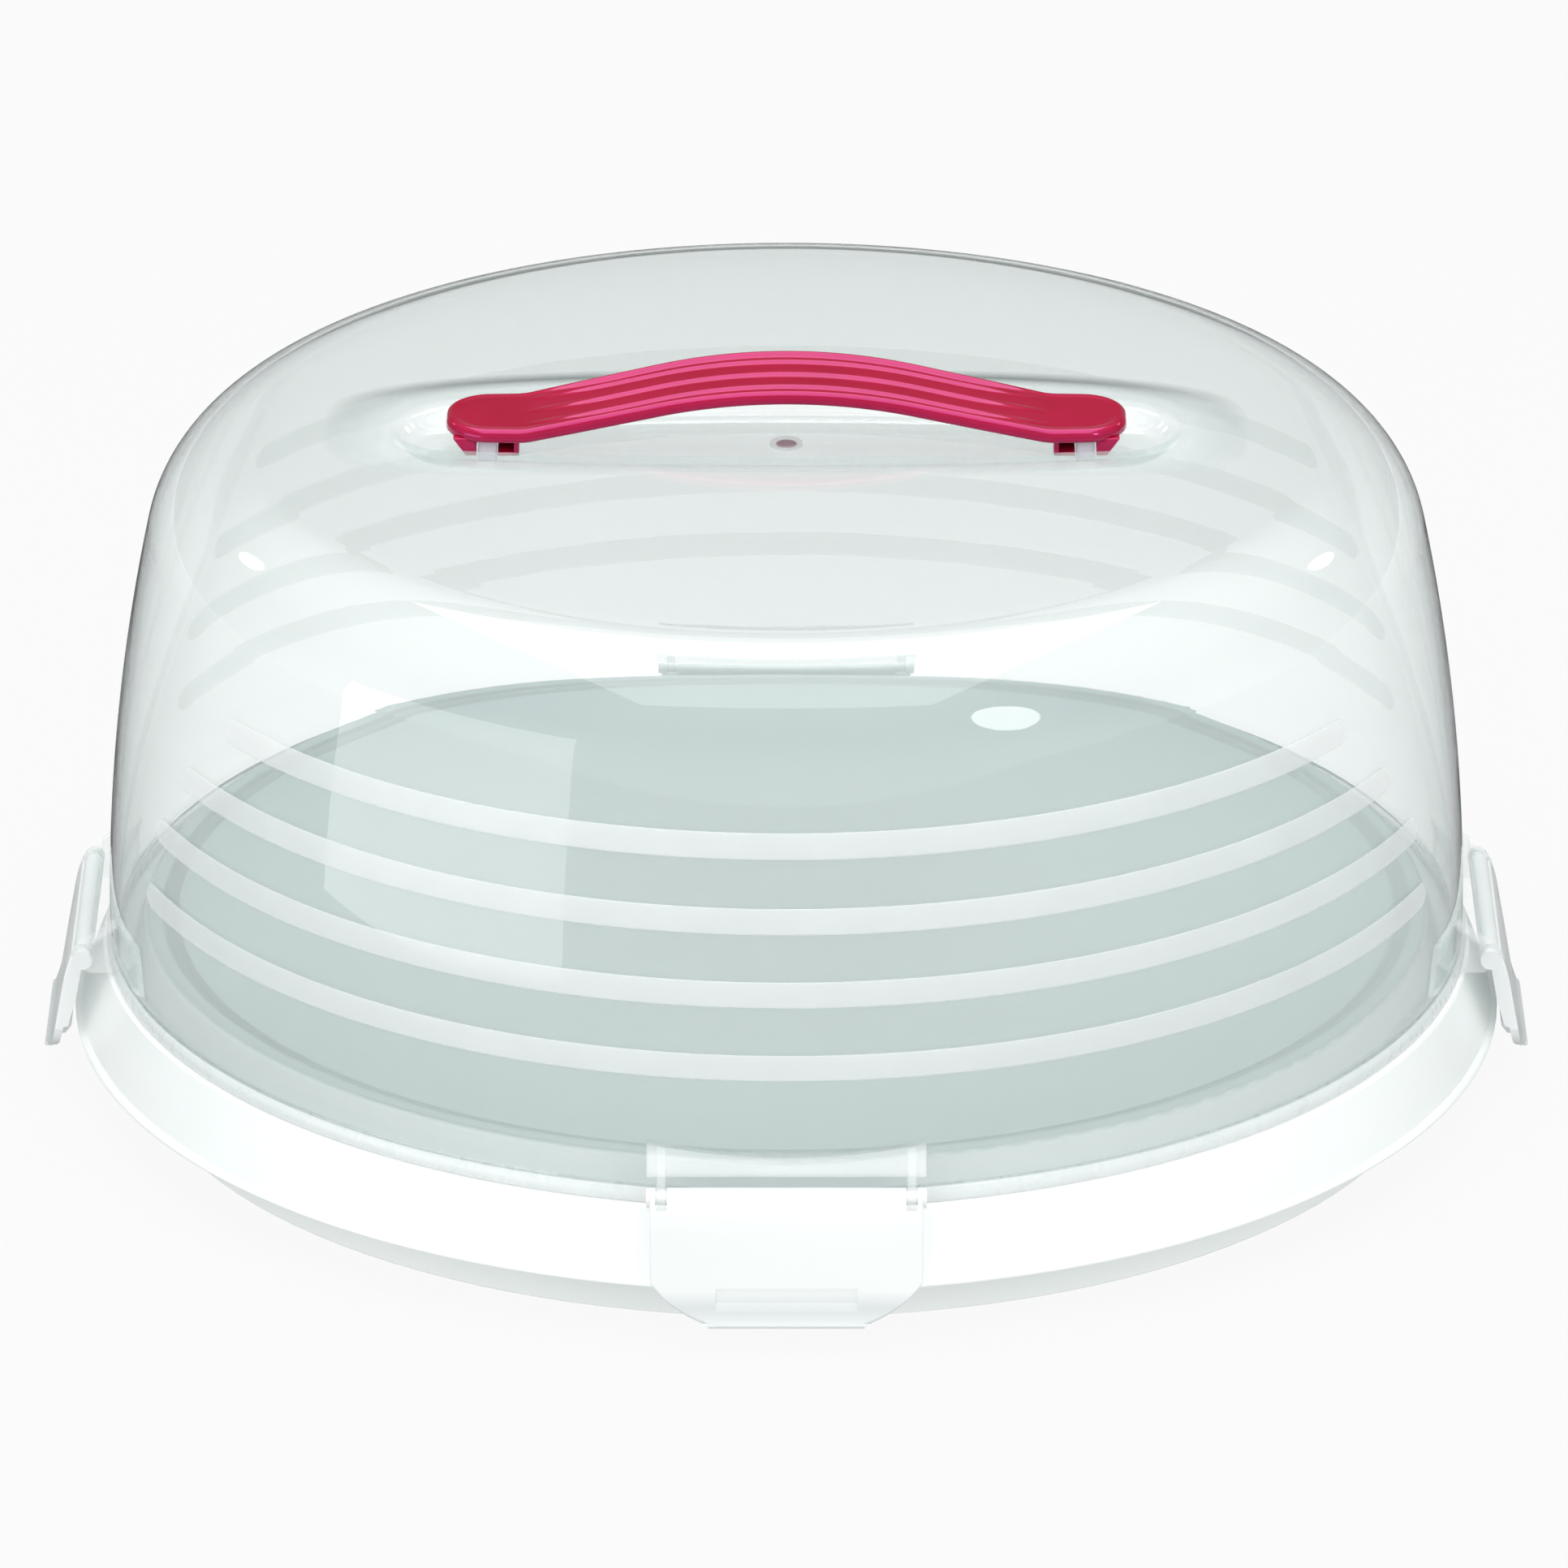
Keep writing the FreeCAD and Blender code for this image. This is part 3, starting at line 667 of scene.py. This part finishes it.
def strap_z(x):
    x = abs(x)
    zc = H_TOP - H_ARCH
    xa = H_ARCH * math.sin(H_PHI)
    if x <= xa:
        return zc + math.sqrt(H_ARCH ** 2 - x * x)
    z_top = zc + H_ARCH * math.cos(H_PHI)
    xk = xa + (z_top - H_PAD) / math.tan(H_PHI)
    tl = H_BEND * math.tan(H_PHI / 2)
    if x >= xk + tl:
        return H_PAD
    if x <= xk - tl * math.cos(H_PHI):
        return z_top - (x - xa) * math.tan(H_PHI)
    return H_PAD + H_BEND - math.sqrt(H_BEND ** 2 - (xk + tl - x) ** 2)


def strap_w(x):
    x1 = H_L - H_C
    d = H_MID - H_END
    big = (x1 * x1 + d * d) / (2 * d)
    x = abs(x)
    if x <= x1:
        return H_MID - big + math.sqrt(big * big - x * x)
    u = min(x - x1, H_C)
    return H_END - H_C + math.sqrt(max(H_C * H_C - u * u, 0.0))


def edge_distance(x, y):
    """Distance in from the strap's outline."""
    x1 = H_L - H_C
    w = strap_w(min(abs(x), x1))
    qx, qy = abs(x) - x1, abs(y) - (w - H_C)
    if qx > 0 and qy > 0:
        return H_C - math.hypot(qx, qy)
    return min(H_C - qx, H_C - qy)


def strap_top(x, y):
    d = max(edge_distance(x, y), 0.0)
    z = strap_z(x)
    fade = 1.0 - smooth_step(40.0, 62.0, abs(x))
    # raised rounded lip round the edge, a sunk face inside it, and the long ridges
    sink = (0.3 + 0.7 * fade) * smooth_step(1.3, 3.5, d)
    ridges = 0.0
    for y0, wdt, h in ((-8.0, 1.35, 0.75), (0.0, 1.6, 0.85), (8.0, 1.35, 0.75)):
        ridges += h * math.exp(-((y - y0) / (0.62 * wdt)) ** 2)
    z += -sink + ridges * fade
    r = 1.9
    if d < r:
        z -= r - math.sqrt(max(r * r - (r - d) ** 2, 0.0))
    return min(z, strap_z(x))


def strap_under(x, y):
    d = max(edge_distance(x, y), 0.0)
    slope = (strap_z(abs(x) + 0.05) - strap_z(abs(x) - 0.05)) / 0.1 if abs(x) > 0.06 else 0.0
    z = strap_z(x) - H_T * math.sqrt(1 + slope * slope)
    r = 0.8
    if d < r:
        z += r - math.sqrt(max(r * r - (r - d) ** 2, 0.0))
    return z


def build_handle():
    xs = [H_L - 0.9 * (1 - math.cos(math.pi / 2 * (i / 6.0))) for i in range(7)]
    xs += [H_L - 0.9 - i * 0.62 for i in range(1, 31)]
    x_in = xs[-1]
    inner = [x_in * (1 - i / 60.0) for i in range(1, 61)]
    right = xs + inner
    line = [-x for x in right] + list(reversed(right[:-1]))
    vs = []
    m = 72
    for i in range(m + 1):
        t = -1.0 + 2.0 * i / m
        vs.append(math.copysign(1 - (1 - abs(t)) ** 1.35, t))
    loops, verts = [], []
    for x in line:
        w = strap_w(x)
        loop = []
        for v in vs:
            y = v * w
            loop.append(len(verts))
            verts.append((x, y, strap_top(x, y)))
        for v in reversed(vs[::2]):
            y = v * w
            loop.append(len(verts))
            verts.append((x, y, strap_under(x, y)))
        loops.append(loop)
    faces = []
    for p, q in zip(loops, loops[1:]):
        for i in range(len(p)):
            j = (i + 1) % len(p)
            faces.append((p[i], q[i], q[j], p[j]))
    faces.append(tuple(reversed(loops[0])))
    faces.append(tuple(loops[-1]))
    ob = new_object("handle_strap", verts, faces)
    fix_normals(ob)
    set_material(ob, M_RED)
    # legs
    bm = bmesh.new()
    for s in (-1, 1):
        for x0, x1, y0, y1, z0, z1 in ((61.4, 62.6, -11.0, 11.0, 152.2, 156.6), (61.4, 66.3, -11.0, 11.0, 152.2, 153.1),
                                       (62.2, 66.3, -1.0, 1.0, 152.2, 156.6), (65.3, 71.4, -5.0, 5.0, 153.3, 154.3)):
            a, b = sorted((s * x0, s * x1))
            bevel_box(bm, a, b, y0, y1, z0, z1, 0.2, 2)
        a, b = sorted((s * 71.2, s * 76.6))
        start = len(bm.verts)
        bm.verts.ensure_lookup_table()
        before = set(bm.verts)
        bevel_box(bm, a, b, -11.0, 11.0, 152.2, 156.4, 0.0)
        fresh = [v for v in bm.verts if v not in before]
        for v in fresh:
            if abs(v.co.x) > 0.075 and v.co.z < 0.154:
                v.co.x = s * 0.0736
        edges = list({e for v in fresh for e in v.link_edges})
        bmesh.ops.bevel(bm, geom=edges, offset=0.3 * MM, segments=2, profile=0.5, affect="EDGES")
    legs = object_from_bm("handle_legs", bm)
    set_material(legs, M_RED)
    for o in (ob, legs):
        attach(o, "lid")
    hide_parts("carry_handle")
    return ob


lid = build_dome()
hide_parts("dome_lid")
for k, (z0, half_deg) in enumerate(STRIPES):
    build_stripe("front_stripe_%d" % (k + 1), z0, half_deg, 0.0)
    build_stripe("back_stripe_%d" % (k + 1), z0, half_deg, 180.0)
build_lugs()
build_ears()
build_roofs()
build_bead()
build_gate("lid_gate_ring", ((0.0, 0.06), (2.3, 0.06), (2.6, 0.2), (2.8, 0.45), (3.2, 0.62), (3.6, 0.5), (3.8, 0.2), (3.85, -0.3)), M_EAR)
build_gate("lid_gate_pip", ((0.0, 0.3), (1.0, 0.28), (1.8, 0.2), (2.3, 0.08), (2.4, -0.2)), M_PIP_PAINTED_REFLECTION)
build_handle()

set_material(NODES["base_tray"], M_BASE)
for name in ("front_clip", "rear_clip", "left_clip", "right_clip"):
    set_material(NODES[name], M_CLIP)

# ------------------------------------------------------------------ floor, light and camera
me = bpy.data.meshes.new("floor")
me.from_pydata([(-14, -14, 0), (14, -14, 0), (14, 14, 0), (-14, 14, 0)], [], [(0, 1, 2, 3)])
floor = bpy.data.objects.new("floor", me)
SCENE.collection.objects.link(floor)
fm, fnt, fb = material("pale_floor")
fb.inputs["Base Color"].default_value = (0.03, 0.03, 0.03, 1)
fb.inputs["Roughness"].default_value = 0.9
fb.inputs["Specular IOR Level"].default_value = 0.0
fb.inputs["Emission Color"].default_value = (1, 1, 1, 1)

# evenly lit sheet; it shows much dimmer in reflections, and a little lighter through the clear lid
FLOOR_SEEN, FLOOR_THROUGH, FLOOR_MIRRORED, FLOOR_GLOW = 0.92, 1.05, 0.08, 0.98
fpath = fnt.nodes.new("ShaderNodeLightPath")
direct = math_node(fnt, "MULTIPLY", fpath.outputs["Is Camera Ray"], FLOOR_SEEN - FLOOR_GLOW)
through = math_node(fnt, "MULTIPLY", fpath.outputs["Is Transmission Ray"], FLOOR_THROUGH - FLOOR_GLOW)
part_seen = math_node(fnt, "ADD", direct, through)
mirrored = math_node(fnt, "MULTIPLY", fpath.outputs["Is Reflection Ray"], math_node(fnt, "SUBTRACT", 1.0, fpath.outputs["Is Diffuse Ray"]))
part_mirrored = math_node(fnt, "MULTIPLY", mirrored, FLOOR_MIRRORED - FLOOR_GLOW)
fnt.links.new(math_node(fnt, "ADD", math_node(fnt, "ADD", part_seen, part_mirrored), FLOOR_GLOW), fb.inputs["Emission Strength"])
me.materials.append(fm)

world = bpy.data.worlds.new("studio")
world.use_nodes = True
SCENE.world = world
wnt = world.node_tree
bg = wnt.nodes["Background"]
sky = wnt.nodes.new("ShaderNodeTexCoord")
split = wnt.nodes.new("ShaderNodeSeparateXYZ")
wnt.links.new(sky.outputs["Generated"], split.inputs[0])


def sky_ramp(stops):
    ramp = wnt.nodes.new("ShaderNodeValToRGB")
    while len(ramp.color_ramp.elements) < len(stops):
        ramp.color_ramp.elements.new(0.5)
    for e, (pos, v) in zip(ramp.color_ramp.elements, stops):
        e.position = pos
        e.color = (0.97 * v, v, 0.995 * v, 1)
    wnt.links.new(split.outputs["Z"], ramp.inputs[0])
    return ramp.outputs[0]


# bright towards the front, dim behind
sky_mix = wnt.nodes.new("ShaderNodeMix")
sky_mix.data_type = "RGBA"
wnt.links.new(map_range(wnt, split.outputs["Y"], -0.15, 0.35, 0.0, 1.0), sky_mix.inputs[0])
wnt.links.new(sky_ramp(((0.0, 0.9), (0.45, 0.4), (0.8, 0.6))), sky_mix.inputs[6])
wnt.links.new(sky_ramp(((0.0, 0.3), (0.42, 0.09), (0.85, 0.62))), sky_mix.inputs[7])
wnt.links.new(sky_mix.outputs[2], bg.inputs["Color"])
bg.inputs["Strength"].default_value = 1.0


def area(name, pos, target, sx, sy, radiance, shape="RECTANGLE", fill=True, shine=True, colour=(1, 1, 1)):
    """Soft lamp of a given brightness; fill lamps light matt surfaces, shining ones also show as reflections."""
    ld = bpy.data.lights.new(name, "AREA")
    ld.shape = shape
    ld.size, ld.size_y = sx, sy
    ld.energy = radiance * math.pi * sx * sy * (math.pi / 4 if shape in ("DISK", "ELLIPSE") else 1.0)
    ld.color = colour
    ob = bpy.data.objects.new(name, ld)
    ob.location = pos
    ob.rotation_euler = (Vector(target) - Vector(pos)).to_track_quat("-Z", "Y").to_euler()
    ob.visible_camera = False
    ob.visible_transmission = False
    ob.visible_diffuse = fill
    ob.visible_glossy = shine
    SCENE.collection.objects.link(ob)
    return ob


AIM = (0, 0, 0.1)
area("overhead", (0, -0.05, 1.4), (0, -0.05, 0), 1.2, 1.9, 2.9, colour=(0.975, 1.0, 0.997))
area("fill_left", (-1.2, -1.33, 1.26), AIM, 1.4, 1.2, 2.1, shine=False)
area("fill_right", (1.2, -1.33, 1.26), AIM, 1.4, 1.2, 2.1, shine=False)
area("front_right_lamp", (0.92, -1.11, 0.89), (0.05, -0.14, 0.14), 0.3, 0.6, 9.0, "ELLIPSE", fill=False)
area("back_right", (1.07, 0.85, 0.87), AIM, 0.17, 0.17, 9.0, "DISK", fill=False)
area("back_left", (-1.07, 0.85, 0.87), AIM, 0.17, 0.17, 9.0, "DISK", fill=False)
area("left_panel", (-0.355, -0.285, 0.11), (0.0, 0.0, 0.11), 0.33, 0.21, 2.6, fill=False)

cam = bpy.data.cameras.new("camera")
cam.lens = 295.6
cam.sensor_width = 36.0
cam.clip_end = 100.0
co = bpy.data.objects.new("camera", cam)
elev = math.radians(22.76)
target = Vector((-0.00055, 0.0, 0.0659))
back = Vector((0.0, -math.cos(elev), math.sin(elev)))
co.location = target + back * 3.0
co.rotation_mode = "QUATERNION"
co.rotation_quaternion = (-back).to_track_quat("-Z", "Y")
SCENE.collection.objects.link(co)
SCENE.camera = co

SCENE.view_settings.view_transform = "Standard"
SCENE.view_settings.look = "None"
SCENE.view_settings.exposure = 0.0
